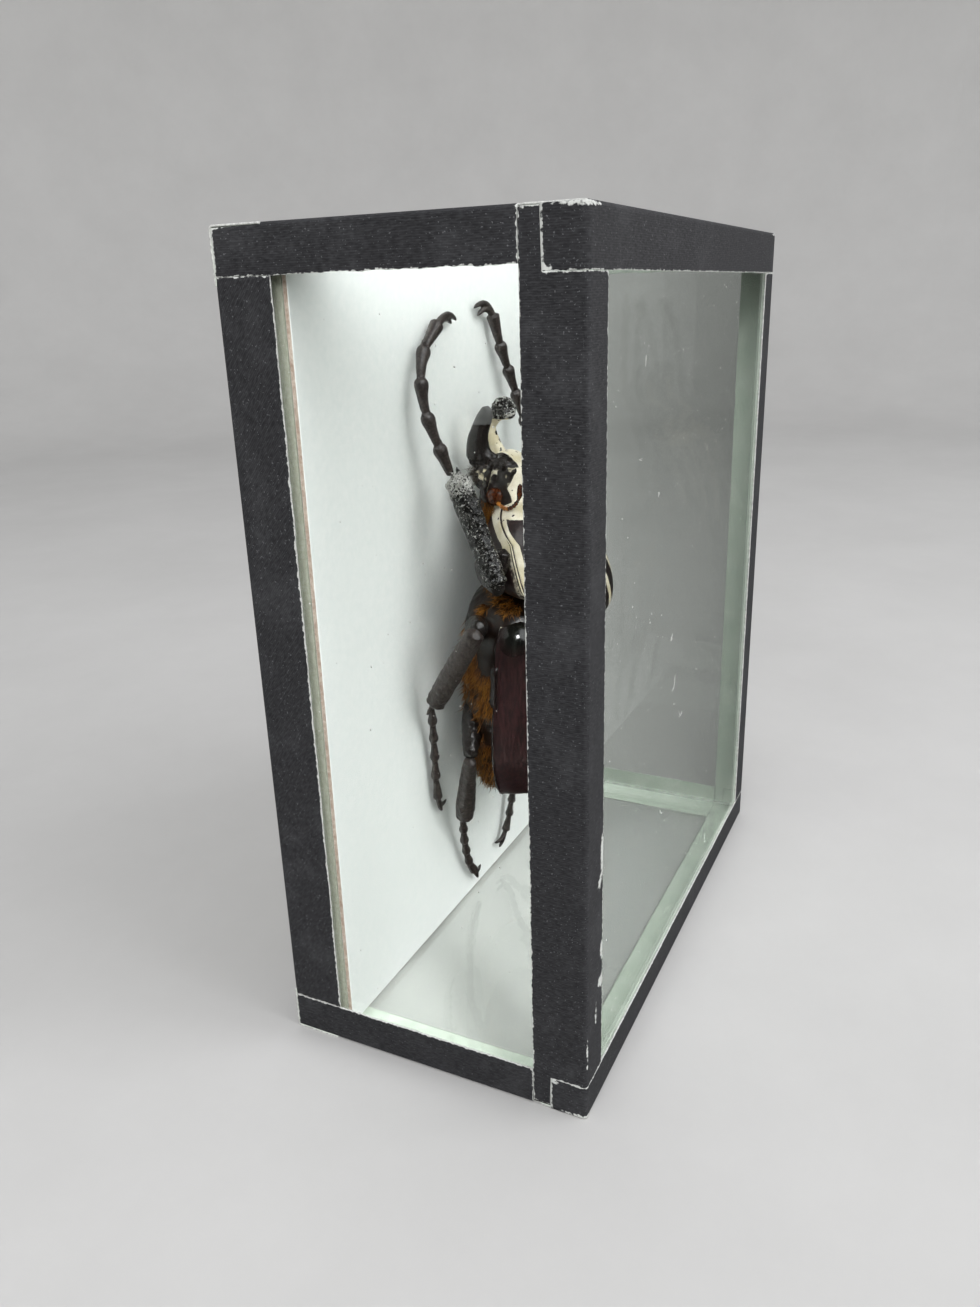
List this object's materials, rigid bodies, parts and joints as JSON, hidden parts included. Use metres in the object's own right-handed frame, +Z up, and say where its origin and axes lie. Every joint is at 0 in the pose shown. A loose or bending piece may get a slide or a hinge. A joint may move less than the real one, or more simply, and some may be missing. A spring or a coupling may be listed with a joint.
{
  "type": "framed goliath beetle",
  "caption": "Dried horned beetle with a cream, striped shield, fixed head up on a white board in a small glass display box bound with black cloth tape",
  "frame": {"origin": "middle of the base that the case stands on", "axes": "+Z up; the front glass faces -Y and the backboard is at +Y; +X is to the right seen from the front"},
  "size_m": [0.124, 0.063, 0.152],
  "materials": {
    "glass": "clear, faintly green, dusty",
    "tape": "black woven binding tape, matt",
    "card": "white coated card, half gloss",
    "foam": "pale foam board, matt",
    "cream_shell": "cream bloom on black shell",
    "wing_case": "dark maroon, velvety",
    "black_shell": "black shell, half gloss",
    "trunk": "dark brown shell under golden hair"
  },
  "bodies": {
    "root": {"pane_front": "glass", "pane_left": "glass", "pane_right": "glass", "pane_top": "glass", "pane_bottom": "glass", "face_card": "card", "backboard": "foam", "tape_front_left": "tape", "tape_front_right": "tape", "tape_back_left": "tape", "tape_back_right": "tape", "tape_top_front": "tape", "tape_top_left": "tape", "tape_top_right": "tape", "tape_top_back": "tape", "tape_bottom_front": "tape", "tape_bottom_left": "tape", "tape_bottom_right": "tape", "tape_bottom_back": "tape", "head": "cream_shell", "pronotum": "cream_shell", "scutellum": "cream_shell", "elytron_left": "wing_case", "elytron_right": "wing_case", "thorax": "trunk", "abdomen": "trunk", "antenna_left": "black_shell", "antenna_right": "black_shell", "femur_front_left": "black_shell", "tibia_front_left": "black_shell", "tarsus_front_left": "black_shell", "femur_front_right": "black_shell", "tibia_front_right": "black_shell", "tarsus_front_right": "black_shell", "femur_mid_left": "black_shell", "tibia_mid_left": "black_shell", "tarsus_mid_left": "black_shell", "femur_mid_right": "black_shell", "tibia_mid_right": "black_shell", "tarsus_mid_right": "black_shell", "femur_hind_left": "black_shell", "tibia_hind_left": "black_shell", "tarsus_hind_left": "black_shell", "femur_hind_right": "black_shell", "tibia_hind_right": "black_shell", "tarsus_hind_right": "black_shell"}
  },
  "joints": []
}
